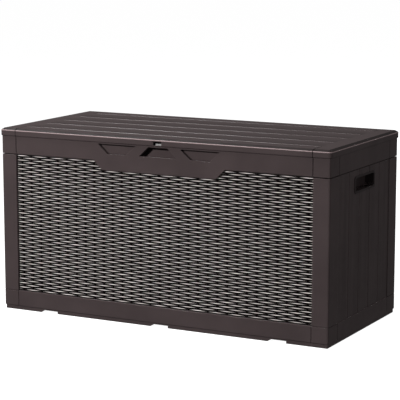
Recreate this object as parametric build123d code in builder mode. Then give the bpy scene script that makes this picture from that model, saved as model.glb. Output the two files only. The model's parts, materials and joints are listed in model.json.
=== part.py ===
from build123d import *
from math import asin, cos, pi, radians, sin
import os

# Deck storage box of moulded resin: a wicker-look front, a plinth of rails and foot blocks,
# a hinged lid with a plank top, and two gas struts that carry the lid.
# Millimetres. The origin is the bottom centre of the closed box, +X runs along the front to
# the right, the front faces -Y and +Z is up.

# ---------------------------------------------------------------- overall sizes
width = 1200.0  # over the lid's rim
depth = 566.0
height = 616.0
wall = 5.0  # every moulded wall

# ---------------------------------------------------------------- lid
rim_overhang = 4.0  # the rim stands this far proud of the body
rim_height = 26.0
rim_slope_run = 11.0  # the rim's top edge slopes down over this width
rim_slope_drop = 6.0
rim_edge_radius = 1.6
rim_under_radius = 3.5
skirt_height = 59.0  # from the rim down to the parting line
lid_corner_radius = 12.0
plank_count = 6
plank_field_margin = 69.0  # from the outer rows' grooves to the lid's front and rear edges
groove_end_margin = 70.0  # from the groove ends to the lid's left and right edges
groove_top_width = 8.0
groove_bottom_width = 3.0
groove_depth = 2.5
seam_width = 2.4
seam_depth = 2.0
fascia_drop = 31.0  # how far the middle of the fascia hangs below the parting line
fascia_drop_half = 208.0  # half its bottom width
fascia_drop_round = 8.0
rear_skirt_chamfer = 3.0  # lets the rear skirt turn down past the body

# Two finger grips under the rim, pockets mirrored about the middle.
grip_top_inner = 80.0
grip_top_outer = 222.0
grip_bottom_inner = 118.0
grip_bottom_outer = 186.0
grip_height = 32.5
grip_depth = 12.5
grip_lip = 4.5  # below the rim's underside
grip_backing = 11.0  # thickness behind the fascia wall
grip_backing_margin = 6.0
grip_corner_radius = 1.5

# The padlock opening in the middle of the fascia and the shackle slot above it.
lock_top_half = 35.0
lock_bottom_half = 68.0
lock_height = 31.0
lock_lip = 5.0  # below the rim's underside
lock_cheek = 4.0
lock_cheek_depth = 17.0
slot_half = 15.0
slot_height = 12.5
slot_lift = 7.5  # above the opening's top
lock_plate_thickness = 3.0
lock_plate_gap = 1.0
lock_plate_depth = 18.0
lock_guard_half = 11.0  # upturned guard between the slot and the padlock hole
lock_guard_height = 6.5
lock_guard_gap = 1.5  # to the fascia wall
catch_half = 20.0
padlock_hole_radius = 4.5
padlock_hole_setback = 7.0  # hole centre, in front of the upstand
catch_reach = 13.5  # catch plate, in front of the upstand
catch_flange = 28.0

# ---------------------------------------------------------------- body
body_corner_radius = 6.0
parting_gap = 3.0
corner_front = 57.0  # width of a corner on the front and rear
corner_side = 71.0  # width of a corner on the sides
foot_height = 66.0
plinth_height = 14.0
plinth_inset = 4.0
rail_depth = 28.0
floor_bottom = 20.0
floor_fit = 0.3
floor_rib_pitch = 150.0
floor_rib_height = 14.0
floor_rib_thickness = 4.0
front_recess = 10.0  # the wicker panel's face behind the corners
side_recess = 2.0
post_return = 17.0  # depth of the posts' inward returns
post_side_return = 10.0
front_upstand_setback = 22.0  # upstand behind the front plane
rear_upstand_setback = 18.0
side_upstand_setback = 10.0
upstand_height = 56.0
panel_rib_pitch = 100.0
panel_rib_depth = 8.0
panel_rib_thickness = 3.0
side_plank_count = 5
side_groove = 3.0  # side of the square bar that cuts each side groove
notch_inset = 119.0  # outer notches' centres, from the corner seams
notch_width = 65.0
notch_height = 8.0
notch_slope = 14.0

# Hand holes in the sides.
hand_width = 152.0
hand_height = 40.0
hand_drop = 30.0  # below the parting line
hand_round = 7.0
cup_depth = 32.0
cup_wall = 3.0
cup_flange = 5.0
cup_fit = 0.2

# ---------------------------------------------------------------- hinges
hinge_inset = 139.0  # outer hinges' centres, from the corner seams
hinge_names = ("left", "centre", "right")
hinge_length = 90.0
hinge_axis_inset = 3.0  # in front of the rear plane
hinge_axis_drop = 2.0  # below the lid's skirt
barrel_radius = 6.5
middle_knuckle = 49.0
knuckle_gap = 0.5
pin_radius = 2.5
running_clearance = 0.05
pin_head_radius = 4.0
pin_head_height = 2.0
leaf_thickness = 4.2
leaf_fit = 0.3  # leaf to the resin wall it is screwed to
leaf_body_drop = 59.0
leaf_lid_rise = 51.0
leaf_clear = 9.0  # leaf plates start this far from the axis
hinge_notch_fit = 2.0
hinge_screw_half = 30.0
hinge_screw_rows = (26.0, 44.0)  # distances from the axis

# Screws that hold the metal parts.
screw_radius = 2.0
screw_hole_clearance = 0.1
screw_head_radius = 4.0
screw_head_height = 2.0
screw_bite = 3.0  # into the resin wall

# ---------------------------------------------------------------- gas struts
strut_arm = 200.0  # both pivots lie this far from the hinge axis
strut_lid_rise = 31.0  # lid pivot above the hinge axis
strut_rest_angle = 75.0  # between the two arms with the lid closed
cylinder_radius = 9.0
cylinder_bore = 7.4
cylinder_start = 14.0
cylinder_length = 191.0
cylinder_cap = 5.0
rod_radius = 4.0
rod_length = 215.0
piston_radius = 7.3
piston_height = 10.0
neck_radius = 5.0
eye_radius = 9.0
eye_width = 16.0
stud_radius = 4.0
stud_head_radius = 6.0
stud_head_height = 3.0
strut_side_gap = 4.0  # cylinder to the hand cup
bracket_width = 24.0
bracket_height = 70.0
bracket_thickness = 4.0
bracket_boss_radius = 8.0
lid_bracket_thickness = 3.0
lid_bracket_length = 60.0
lid_bracket_outboard = 16.0
bracket_screw_offset = 25.0
end_gap = 0.5  # sideways play at eyes and heads

# ---------------------------------------------------------------- lid liner
liner_rest_gap = 0.4
liner_thickness = 2.6
liner_front_setback = 43.0  # liner's front edge, from the lid's front edge
liner_rib_count = 9
liner_rib_thickness = 3.0

# ---------------------------------------------------------------- derived planes
body_x = width / 2 - rim_overhang
body_y = depth / 2 - rim_overhang
seam_x = body_x - corner_front
seam_y = body_y - corner_side
rim_bottom = height - rim_height
skirt_bottom = rim_bottom - skirt_height
top_under = height - wall
shoulder = skirt_bottom - parting_gap
upstand_top = shoulder + upstand_height
hinge_positions = (-(seam_x - hinge_inset), 0.0, seam_x - hinge_inset)
notch_spacing = seam_x - notch_inset
plank_edge = depth / 2 - plank_field_margin
plank_pitch = 2 * plank_edge / (plank_count - 2)
groove_half = width / 2 - groove_end_margin
front_panel_face = -(body_y - front_recess)
upstand_front = -(body_y - front_upstand_setback)
upstand_rear = body_y - rear_upstand_setback
upstand_side = body_x - side_upstand_setback
lock_top = rim_bottom - lock_lip
lock_bottom = lock_top - lock_height
plate_seat = upstand_top + lock_plate_thickness + lock_plate_gap
hole_y = upstand_front - padlock_hole_setback
axis_y = body_y - hinge_axis_inset
axis_z = skirt_bottom - hinge_axis_drop
leaf_back = body_y - wall - leaf_fit
leaf_front = leaf_back - leaf_thickness
hand_z = skirt_bottom - hand_drop - hand_height / 2
side_face = body_x - side_recess
floor_top = floor_bottom + wall
strut_x = body_x - cup_depth - cup_wall - strut_side_gap - cylinder_radius
lid_arm_angle = pi - asin(strut_lid_rise / strut_arm)
body_arm_angle = lid_arm_angle + radians(strut_rest_angle)
lid_pivot = (axis_y + strut_arm * cos(lid_arm_angle), axis_z + strut_arm * sin(lid_arm_angle))
body_pivot = (axis_y + strut_arm * cos(body_arm_angle), axis_z + strut_arm * sin(body_arm_angle))
strut_rest_length = 2 * strut_arm * sin(radians(strut_rest_angle) / 2)
strut_direction = (
    (lid_pivot[0] - body_pivot[0]) / strut_rest_length,
    (lid_pivot[1] - body_pivot[1]) / strut_rest_length,
)
liner_bottom = upstand_top + liner_rest_gap
liner_top = liner_bottom + liner_thickness
liner_y_front = -(depth / 2 - liner_front_setback)
liner_y_rear = upstand_rear + 1.0

os.makedirs("parts", exist_ok=True)


def save(part, name):
    """Labels one finished piece and writes it."""
    part.label = name
    export_step(part, f"parts/{name}.step")


def save_pair(part, name):
    """Writes a right-hand piece and its mirror image on the left."""
    save(part, f"{name}_right")
    save(mirror(part, about=Plane.YZ), f"{name}_left")


def block(low, high):
    """A box between two corners."""
    middle = [(a + b) / 2 for a, b in zip(low, high)]
    size = [b - a for a, b in zip(low, high)]
    with BuildPart() as box:
        with Locations(tuple(middle)):
            Box(*size)
    return box.part


def prism_x(points, x_from, x_to):
    """A prism along X from a closed outline in (y, z)."""
    with BuildPart() as prism:
        with BuildSketch(Plane.YZ.offset(x_from)):
            with BuildLine():
                Polyline(*points, close=True)
            make_face()
        extrude(amount=x_to - x_from)
    return prism.part


def prism_y(points, y_from, y_to):
    """A prism along Y from a closed outline in (x, z)."""
    with BuildPart() as prism:
        with BuildSketch(Plane.XZ.offset(-y_from)):
            with BuildLine():
                Polyline(*points, close=True)
            make_face()
        extrude(amount=y_from - y_to)
    return prism.part


# ================================================================ seams of the body
# Narrow slots that mark where the corners meet the rails and panels.
with BuildPart() as body_seams:
    with Locations((seam_x, 0, shoulder / 2), (-seam_x, 0, shoulder / 2)):
        Box(seam_width, 2 * body_y, shoulder)
    with Locations((0, seam_y, shoulder / 2), (0, -seam_y, shoulder / 2)):
        Box(2 * body_x, seam_width, shoulder)
    with Locations(*[(side * (seam_x + corner_front / 2), 0, foot_height) for side in (-1, 1)]):
        Box(corner_front, 2 * body_y, seam_width)
    with Locations((0, 0, shoulder / 2)):
        Box(2 * (body_x - seam_depth), 2 * (body_y - seam_depth), shoulder, mode=Mode.SUBTRACT)

# ================================================================ plinth
# One ring of channel section is drawn, then shared out to the rails and the foot blocks.
with BuildPart() as base_form:
    with BuildSketch(Plane.XY.offset(plinth_height)):
        RectangleRounded(2 * body_x, 2 * body_y, body_corner_radius)
    extrude(amount=foot_height - plinth_height)
    with BuildSketch():
        Rectangle(2 * (body_x - plinth_inset), 2 * (body_y - plinth_inset))
    extrude(amount=plinth_height)
    with BuildSketch():
        Rectangle(2 * (body_x - plinth_inset - wall), 2 * (body_y - plinth_inset - wall))
    extrude(amount=plinth_height + wall, mode=Mode.SUBTRACT)
    with BuildSketch(Plane.XY.offset(plinth_height + wall)):
        Rectangle(2 * (body_x - wall), 2 * (body_y - wall))
    extrude(amount=foot_height - plinth_height - 2 * wall, mode=Mode.SUBTRACT)
    with BuildSketch(Plane.XY.offset(floor_top)):
        Rectangle(2 * (body_x - rail_depth + wall), 2 * (body_y - rail_depth + wall))
    extrude(amount=foot_height - floor_top)
    with BuildSketch(Plane.XY.offset(floor_top)):
        Rectangle(2 * (body_x - rail_depth), 2 * (body_y - rail_depth))
    extrude(amount=foot_height - floor_top, mode=Mode.SUBTRACT)
    # Ventilation notches along the front's bottom edge, each with one sloped end.
    for notch_x in (-notch_spacing, 0.0, notch_spacing):
        with BuildSketch(Plane.XZ.offset(body_y - plinth_inset - wall)):
            with BuildLine():
                Polyline(
                    (notch_x - notch_width / 2, 0),
                    (notch_x + notch_width / 2, 0),
                    (notch_x + notch_width / 2, notch_height),
                    (notch_x - notch_width / 2 + notch_slope, notch_height),
                    close=True,
                )
            make_face()
        extrude(amount=plinth_inset + wall, mode=Mode.SUBTRACT)
    add(body_seams.part, mode=Mode.SUBTRACT)

for name, sign in (("front", -1), ("rear", 1)):
    with BuildPart() as base_rail:
        add(base_form.part)
        add(
            block(
                (-seam_x, min(0, sign * body_y), 0),
                (seam_x, max(0, sign * body_y), foot_height),
            ),
            mode=Mode.INTERSECT,
        )
    save(base_rail.part, f"base_rail_{name}")
    with BuildPart() as base_corner:
        add(base_form.part)
        add(
            block(
                (seam_x, min(sign * seam_y, sign * body_y), 0),
                (body_x, max(sign * seam_y, sign * body_y), foot_height),
            ),
            mode=Mode.INTERSECT,
        )
    save_pair(base_corner.part, f"base_corner_{name}")

with BuildPart() as base_rail_side:
    add(base_form.part)
    add(block((seam_x, -seam_y, 0), (body_x, seam_y, foot_height)), mode=Mode.INTERSECT)
save_pair(base_rail_side.part, "base_rail")

floor_x = body_x - wall - floor_fit
floor_y = body_y - wall - floor_fit
with BuildPart() as floor_panel:
    with BuildSketch(Plane.XY.offset(floor_bottom)):
        Rectangle(2 * floor_x, 2 * floor_y)
    extrude(amount=wall)
    rib_reach = floor_y - plinth_inset - wall
    rib_steps = int((body_x - rail_depth) // floor_rib_pitch)
    with Locations(
        *[
            (step * floor_rib_pitch, 0, floor_bottom - floor_rib_height / 2)
            for step in range(-rib_steps, rib_steps + 1)
        ]
    ):
        Box(floor_rib_thickness, 2 * rib_reach, floor_rib_height)
    with Locations(
        (0, -rib_reach / 2, floor_bottom - floor_rib_height / 2),
        (0, rib_reach / 2, floor_bottom - floor_rib_height / 2),
    ):
        Box(2 * rib_steps * floor_rib_pitch, floor_rib_thickness, floor_rib_height)
save(floor_panel.part, "floor_panel")

# ================================================================ corner posts
for name, sign, upstand in (("front", -1, upstand_front), ("rear", 1, upstand_rear)):
    plane_y = sign * body_y
    seam = sign * seam_y
    inner_y = upstand - sign * wall
    with BuildPart() as corner_post:
        with BuildSketch(Plane.XY.offset(foot_height)):
            with BuildLine():
                Polyline(
                    (seam_x, plane_y),
                    (body_x, plane_y),
                    (body_x, seam),
                    (body_x - post_side_return, seam),
                    (body_x - post_side_return, seam + sign * wall),
                    (body_x - wall, seam + sign * wall),
                    (body_x - wall, plane_y - sign * wall),
                    (seam_x + wall, plane_y - sign * wall),
                    (seam_x + wall, plane_y - sign * post_return),
                    (seam_x, plane_y - sign * post_return),
                    close=True,
                )
            make_face()
        extrude(amount=shoulder - foot_height)
        # The shoulder carries the upstand that the lid closes over.
        with BuildSketch(Plane.XY.offset(shoulder - wall)):
            with BuildLine():
                Polyline(
                    (seam_x, plane_y),
                    (body_x, plane_y),
                    (body_x, seam),
                    (upstand_side - wall, seam),
                    (upstand_side - wall, inner_y),
                    (seam_x, inner_y),
                    close=True,
                )
            make_face()
        extrude(amount=wall)
        with BuildSketch(Plane.XY.offset(shoulder)):
            with BuildLine():
                Polyline(
                    (seam_x, upstand),
                    (upstand_side, upstand),
                    (upstand_side, seam),
                    (upstand_side - wall, seam),
                    (upstand_side - wall, inner_y),
                    (seam_x, inner_y),
                    close=True,
                )
            make_face()
        extrude(amount=upstand_height)
        outer_edge = corner_post.edges().filter_by(Axis.Z).sort_by_distance((body_x, plane_y, 0))[0]
        fillet(outer_edge, body_corner_radius)
        add(body_seams.part, mode=Mode.SUBTRACT)
    save_pair(corner_post.part, f"corner_post_{name}")

# ================================================================ front and back panels
catch_spots = [(side * catch_half / 2, upstand_top - catch_flange / 2) for side in (-1, 1)]
rib_count = int(seam_x // panel_rib_pitch)
rib_bottom = foot_height
rib_top = shoulder - wall

with BuildPart() as front_wicker_panel:
    add(
        prism_x(
            [
                (front_panel_face, foot_height),
                (front_panel_face, shoulder),
                (upstand_front, shoulder),
                (upstand_front, upstand_top),
                (upstand_front + wall, upstand_top),
                (upstand_front + wall, shoulder - wall),
                (front_panel_face + wall, shoulder - wall),
                (front_panel_face + wall, foot_height),
            ],
            -seam_x,
            seam_x,
        )
    )
    with Locations(
        *[
            (
                step * panel_rib_pitch,
                front_panel_face + wall + panel_rib_depth / 2,
                (rib_bottom + rib_top) / 2,
            )
            for step in range(-rib_count, rib_count + 1)
        ]
    ):
        Box(panel_rib_thickness, panel_rib_depth, rib_top - rib_bottom)
    # Screw holes for the catch plate.
    with Locations(
        *[Location((x, upstand_front + wall, z), (90, 0, 0)) for x, z in catch_spots]
    ):
        Cylinder(
            screw_radius + screw_hole_clearance,
            2 * (screw_bite + screw_hole_clearance),
            mode=Mode.SUBTRACT,
        )
save(front_wicker_panel.part, "front_wicker_panel")

hinge_screws_x = [hinge + side * hinge_screw_half for hinge in hinge_positions for side in (-1, 1)]
body_screw_spots = [(x, axis_z - row) for x in hinge_screws_x for row in hinge_screw_rows]
lid_screw_spots = [(x, axis_z + row) for x in hinge_screws_x for row in hinge_screw_rows]
notch_half = hinge_length / 2 + hinge_notch_fit
screw_tip = body_y - wall + screw_bite


def screw_holes(spots):
    """Bars that cut the blind screw holes of the hinge leaves in the rear walls."""
    with BuildPart() as bars:
        with Locations(
            *[
                Location((x, (leaf_front + screw_tip + screw_hole_clearance) / 2, z), (90, 0, 0))
                for x, z in spots
            ]
        ):
            Cylinder(
                screw_radius + screw_hole_clearance, screw_tip + screw_hole_clearance - leaf_front
            )
    return bars.part


def screws_y(spots, seat_y, tip_y):
    """Pan-head screws along Y, heads in front of seat_y, points at tip_y."""
    reach = tip_y - seat_y
    with BuildPart() as screws:
        with Locations(*[Location((x, seat_y + reach / 2, z), (90, 0, 0)) for x, z in spots]):
            Cylinder(screw_radius, abs(reach))
        head_y = seat_y - screw_head_height / 2 if reach > 0 else seat_y + screw_head_height / 2
        with Locations(*[Location((x, head_y, z), (90, 0, 0)) for x, z in spots]):
            Cylinder(screw_head_radius, screw_head_height)
    return screws.part


with BuildPart() as back_panel:
    add(
        prism_x(
            [
                (body_y, foot_height),
                (body_y, shoulder),
                (upstand_rear, shoulder),
                (upstand_rear, upstand_top),
                (upstand_rear - wall, upstand_top),
                (upstand_rear - wall, shoulder - wall),
                (body_y - wall, shoulder - wall),
                (body_y - wall, foot_height),
            ],
            -seam_x,
            seam_x,
        )
    )
    with Locations(
        *[
            (step * panel_rib_pitch, body_y - wall - panel_rib_depth / 2, (rib_bottom + rib_top) / 2)
            for step in range(-rib_count, rib_count + 1)
            if all(abs(step * panel_rib_pitch - hinge) > notch_half for hinge in hinge_positions)
        ]
    ):
        Box(panel_rib_thickness, panel_rib_depth, rib_top - rib_bottom)
    for hinge in hinge_positions:
        add(
            block(
                (hinge - notch_half, upstand_rear, axis_z - leaf_clear),
                (hinge + notch_half, body_y, shoulder),
            ),
            mode=Mode.SUBTRACT,
        )
    add(screw_holes(body_screw_spots), mode=Mode.SUBTRACT)
    add(body_seams.part, mode=Mode.SUBTRACT)
save(back_panel.part, "back_panel")

# ================================================================ side panels and hand cups
hand_outline = (hand_width + 2 * cup_wall, hand_height + 2 * cup_wall)
side_pitch = 2 * seam_y / side_plank_count

with BuildPart() as side_panel:
    add(
        prism_y(
            [
                (side_face, foot_height),
                (side_face, shoulder),
                (upstand_side, shoulder),
                (upstand_side, upstand_top),
                (upstand_side - wall, upstand_top),
                (upstand_side - wall, shoulder - wall),
                (side_face - wall, shoulder - wall),
                (side_face - wall, foot_height),
            ],
            -seam_y,
            seam_y,
        )
    )
    with Locations(
        *[
            Location((side_face, -seam_y + line * side_pitch, (foot_height + shoulder) / 2), (0, 0, 45))
            for line in range(1, side_plank_count)
        ]
    ):
        Box(side_groove, side_groove, shoulder - foot_height, mode=Mode.SUBTRACT)
    with BuildSketch(Plane.YZ.offset(side_face - wall)):
        with Locations((0, hand_z)):
            RectangleRounded(
                hand_outline[0] + 2 * cup_fit, hand_outline[1] + 2 * cup_fit, hand_round + cup_wall
            )
    extrude(amount=wall, mode=Mode.SUBTRACT)
    # Screw holes for the lower strut bracket.
    with Locations(
        *[
            Location((side_face - wall, body_pivot[0], body_pivot[1] + offset), (0, 90, 0))
            for offset in (-bracket_screw_offset, bracket_screw_offset)
        ]
    ):
        Cylinder(
            screw_radius + screw_hole_clearance,
            2 * (screw_bite + screw_hole_clearance),
            mode=Mode.SUBTRACT,
        )
save_pair(side_panel.part, "side_panel")

with BuildPart() as hand_cup:
    with BuildSketch(Plane.YZ.offset(side_face)):
        with Locations((0, hand_z)):
            RectangleRounded(
                hand_outline[0] + 2 * cup_flange, hand_outline[1] + 2 * cup_flange, hand_round + cup_flange
            )
    extrude(amount=side_recess)
    chamfer(hand_cup.faces().sort_by(Axis.X)[-1].edges(), side_recess * 0.6)
    with BuildSketch(Plane.YZ.offset(body_x - cup_depth - cup_wall)):
        with Locations((0, hand_z)):
            RectangleRounded(*hand_outline, hand_round + cup_wall)
    extrude(amount=cup_depth + cup_wall - side_recess)
    with BuildSketch(Plane.YZ.offset(body_x - cup_depth)):
        with Locations((0, hand_z)):
            RectangleRounded(hand_width, hand_height, hand_round)
    extrude(amount=cup_depth, mode=Mode.SUBTRACT)
    lip_edges = hand_cup.faces().sort_by(Axis.X)[-1].inner_wires().edges()
    chamfer(lip_edges, cup_wall * 0.6)
save_pair(hand_cup.part, "hand_cup")


# ================================================================ lid
def lid_block(inset):
    """The closed lid as one solid, with every outer face pulled in by inset."""
    with BuildPart() as solid:
        with BuildSketch(Plane.XY.offset(rim_bottom)):
            RectangleRounded(width - 2 * inset, depth - 2 * inset, lid_corner_radius - inset)
        extrude(amount=rim_height - inset)
        top_face = solid.faces().sort_by(Axis.Z)[-1]
        chamfer(
            top_face.edges(),
            length=rim_slope_run - inset,
            length2=rim_slope_drop - inset,
            reference=top_face,
        )
        edge_height = height - rim_slope_drop
        rim_edges = solid.edges().filter_by_position(
            Axis.Z, edge_height - 0.1, edge_height + 0.1
        )
        fillet(rim_edges, rim_edge_radius)
        fillet(solid.faces().sort_by(Axis.Z)[0].edges(), rim_under_radius)
        with BuildSketch(Plane.XY.offset(skirt_bottom)):
            RectangleRounded(2 * (body_x - inset), 2 * (body_y - inset), body_corner_radius)
        extrude(amount=skirt_height + rim_under_radius)
    return solid.part


with BuildPart() as seam_cutter:
    with Locations(*[(side * seam_x, 0, (skirt_bottom + height) / 2) for side in (-1, 1)]):
        Box(seam_width, depth, height - skirt_bottom)
    add(
        block((-width, -plank_edge, skirt_bottom), (width, plank_edge, height)),
        mode=Mode.SUBTRACT,
    )
    with Locations(*[(0, side * seam_y, (skirt_bottom + rim_bottom) / 2) for side in (-1, 1)]):
        Box(width, seam_width, rim_bottom - skirt_bottom)
    add(lid_block(seam_depth), mode=Mode.SUBTRACT)

plank_lines = [-plank_edge + line * plank_pitch for line in range(plank_count - 1)]
with BuildPart() as lid_form:
    add(lid_block(0.0))
    add(
        block(
            (-(body_x - wall), -(body_y - wall), skirt_bottom), (body_x - wall, body_y - wall, top_under)
        ),
        mode=Mode.SUBTRACT,
    )
    add(seam_cutter.part, mode=Mode.SUBTRACT)
    for line_y in plank_lines:
        add(
            prism_x(
                [
                    (line_y - groove_top_width / 2, height),
                    (line_y - groove_bottom_width / 2, height - groove_depth),
                    (line_y + groove_bottom_width / 2, height - groove_depth),
                    (line_y + groove_top_width / 2, height),
                ],
                -groove_half,
                groove_half,
            ),
            mode=Mode.SUBTRACT,
        )
    # The rear skirt's lower edge is bevelled so that it can turn down behind the body.
    add(
        prism_x(
            [
                (body_y - rear_skirt_chamfer, skirt_bottom),
                (body_y, skirt_bottom),
                (body_y, skirt_bottom + rear_skirt_chamfer),
            ],
            -body_x,
            body_x,
        ),
        mode=Mode.SUBTRACT,
    )

with BuildPart() as lid_top_panel:
    add(lid_form.part)
    add(block((-seam_x, -plank_edge, top_under), (seam_x, plank_edge, height)), mode=Mode.INTERSECT)
save(lid_top_panel.part, "lid_top_panel")

with BuildPart() as lid_end_cap:
    add(lid_form.part)
    add(block((seam_x, -depth / 2, skirt_bottom), (width / 2, depth / 2, height)), mode=Mode.INTERSECT)
    for sign in (-1, 1):
        add(
            block(
                (seam_x, min(sign * seam_y, sign * depth / 2), skirt_bottom),
                (width / 2, max(sign * seam_y, sign * depth / 2), rim_bottom),
            ),
            mode=Mode.SUBTRACT,
        )
save_pair(lid_end_cap.part, "lid_end_cap")

for name, sign in (("front", -1), ("rear", 1)):
    with BuildPart() as lid_corner:
        add(lid_form.part)
        add(
            block(
                (seam_x, min(sign * seam_y, sign * depth / 2), skirt_bottom),
                (width / 2, max(sign * seam_y, sign * depth / 2), rim_bottom),
            ),
            mode=Mode.INTERSECT,
        )
    save_pair(lid_corner.part, f"lid_corner_{name}")

with BuildPart() as lid_rear_rail:
    add(lid_form.part)
    add(
        block((-seam_x, plank_edge, skirt_bottom), (seam_x, depth / 2, height)), mode=Mode.INTERSECT
    )
    for hinge in hinge_positions:
        add(
            block(
                (hinge - notch_half, body_y - wall, skirt_bottom),
                (hinge + notch_half, body_y, axis_z + leaf_clear),
            ),
            mode=Mode.SUBTRACT,
        )
    add(screw_holes(lid_screw_spots), mode=Mode.SUBTRACT)
save(lid_rear_rail.part, "lid_rear_rail")

# ---------------------------------------------------------------- fascia
grip_top = rim_bottom - grip_lip
grip_bottom = grip_top - grip_height
grip_outline = [
    (grip_top_inner, grip_top),
    (grip_top_outer, grip_top),
    (grip_bottom_outer, grip_bottom),
    (grip_bottom_inner, grip_bottom),
]
grip_backing_outline = [
    (grip_top_inner - grip_backing_margin, rim_bottom + wall),
    (grip_top_outer + grip_backing_margin, rim_bottom + wall),
    (grip_bottom_outer + grip_backing_margin, grip_bottom - grip_backing_margin),
    (grip_bottom_inner - grip_backing_margin, grip_bottom - grip_backing_margin),
]
lock_outline = [
    (-lock_top_half, lock_top),
    (lock_top_half, lock_top),
    (lock_bottom_half, lock_bottom),
    (-lock_bottom_half, lock_bottom),
]
fascia_front = -body_y
fascia_back = -(body_y - wall)

with BuildPart() as grip_pocket:
    add(prism_y(grip_outline, fascia_front, fascia_front + grip_depth))
    fillet(grip_pocket.edges().filter_by(Axis.Y), grip_corner_radius)

with BuildPart() as lid_fascia:
    add(lid_form.part)
    add(
        block((-seam_x, -depth / 2, skirt_bottom), (seam_x, -plank_edge, height)), mode=Mode.INTERSECT
    )
    with BuildSketch(Plane.XZ.offset(body_y)):
        with BuildLine():
            Polyline(
                (-(fascia_drop_half + fascia_drop), skirt_bottom),
                (fascia_drop_half + fascia_drop, skirt_bottom),
                (fascia_drop_half, skirt_bottom - fascia_drop),
                (-fascia_drop_half, skirt_bottom - fascia_drop),
                close=True,
            )
        make_face()
    extrude(amount=-wall)
    drop_corners = lid_fascia.edges().filter_by(Axis.Y).group_by(Axis.Z)[0]
    fillet(drop_corners, fascia_drop_round)
    for side in (-1, 1):
        backing = [(side * x, z) for x, z in grip_backing_outline]
        add(prism_y(backing, fascia_back, fascia_back + grip_backing))
    # Cheeks on both sides of the padlock opening.
    add(
        prism_y(
            [
                (-lock_top_half - lock_cheek, plate_seat),
                (lock_top_half + lock_cheek, plate_seat),
                (lock_bottom_half + lock_cheek, lock_bottom),
                (-lock_bottom_half - lock_cheek, lock_bottom),
            ],
            fascia_back,
            fascia_front + lock_cheek_depth,
        )
    )
    add(prism_y(lock_outline, fascia_front, fascia_front + lock_cheek_depth), mode=Mode.SUBTRACT)
    add(
        block(
            (-lock_top_half, fascia_back, lock_top),
            (lock_top_half, fascia_front + lock_cheek_depth, plate_seat),
        ),
        mode=Mode.SUBTRACT,
    )
    # The shackle slot in the rim above it.
    add(
        block(
            (-slot_half, -depth / 2, lock_top + slot_lift),
            (slot_half, fascia_back, lock_top + slot_lift + slot_height),
        ),
        mode=Mode.SUBTRACT,
    )
    add(grip_pocket.part, mode=Mode.SUBTRACT)
    add(mirror(grip_pocket.part, about=Plane.YZ), mode=Mode.SUBTRACT)
save(lid_fascia.part, "lid_fascia")

# ---------------------------------------------------------------- liner
liner_x = upstand_side
with BuildPart() as lid_liner:
    add(block((-liner_x, liner_y_front, liner_bottom), (liner_x, liner_y_rear, liner_top)))
    rib_span = 2 * (liner_x - 2 * liner_rib_thickness) / (liner_rib_count - 1)
    with Locations(
        *[
            (
                (index - (liner_rib_count - 1) / 2) * rib_span,
                (liner_y_front + liner_y_rear) / 2,
                (liner_top + top_under) / 2,
            )
            for index in range(liner_rib_count)
        ]
    ):
        Box(liner_rib_thickness, liner_y_rear - liner_y_front, top_under - liner_top)
    # Screw holes for the upper strut brackets.
    with Locations(
        *[
            (side * strut_x, lid_pivot[0] + offset, liner_bottom)
            for side in (-1, 1)
            for offset in (-lid_bracket_length / 3, lid_bracket_length / 3)
        ]
    ):
        Cylinder(screw_radius + screw_hole_clearance, 2 * liner_thickness + 1, mode=Mode.SUBTRACT)
save(lid_liner.part, "lid_liner")

# ================================================================ padlock plates
plate_top = plate_seat + lock_plate_thickness
guard_front = fascia_back + lock_guard_gap
with BuildPart() as lock_plate_lid:
    add(
        block(
            (-lock_top_half - lock_cheek, fascia_back, plate_seat),
            (lock_top_half + lock_cheek, fascia_back + lock_plate_depth, plate_top),
        )
    )
    add(
        block(
            (-lock_guard_half, guard_front, plate_top),
            (lock_guard_half, guard_front + lock_plate_thickness, plate_top + lock_guard_height),
        )
    )
    with Locations((0, hole_y, plate_seat)):
        Cylinder(padlock_hole_radius, 3 * lock_plate_thickness, mode=Mode.SUBTRACT)
save(lock_plate_lid.part, "lock_plate_lid")

catch_top = plate_seat - lock_plate_gap
catch_bottom = catch_top - lock_plate_thickness
with BuildPart() as lock_plate_body:
    add(
        block(
            (-catch_half, upstand_front - catch_reach, catch_bottom),
            (catch_half, upstand_front + wall + lock_plate_thickness, catch_top),
        )
    )
    add(
        block(
            (-catch_half, upstand_front + wall, upstand_top - catch_flange),
            (catch_half, upstand_front + wall + lock_plate_thickness, catch_top),
        )
    )
    fillet(
        lock_plate_body.edges().filter_by(Axis.Z).group_by(Axis.Y)[0],
        lock_plate_thickness,
    )
    with Locations((0, hole_y, catch_bottom)):
        Cylinder(padlock_hole_radius, 3 * lock_plate_thickness, mode=Mode.SUBTRACT)
    with Locations(
        *[Location((x, upstand_front + wall, z), (90, 0, 0)) for x, z in catch_spots]
    ):
        Cylinder(
            screw_radius + screw_hole_clearance, 3 * lock_plate_thickness, mode=Mode.SUBTRACT
        )
save(lock_plate_body.part, "lock_plate_body")

catch_seat = upstand_front + wall + lock_plate_thickness
with BuildPart() as catch_screws:
    add(screws_y(catch_spots, catch_seat, catch_seat - lock_plate_thickness - screw_bite))
save(catch_screws.part, "catch_screws")

# ================================================================ hinges
outer_knuckle = (hinge_length - middle_knuckle - 2 * knuckle_gap) / 2
outer_centre = hinge_length / 2 - outer_knuckle / 2


def barrel(spans):
    """Knuckles about the hinge axis, each a pair of x limits."""
    with BuildPart() as knuckles:
        for x_from, x_to in spans:
            with Locations(Location(((x_from + x_to) / 2, axis_y, axis_z), (0, 90, 0))):
                Cylinder(barrel_radius, x_to - x_from)
    return knuckles.part


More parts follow.
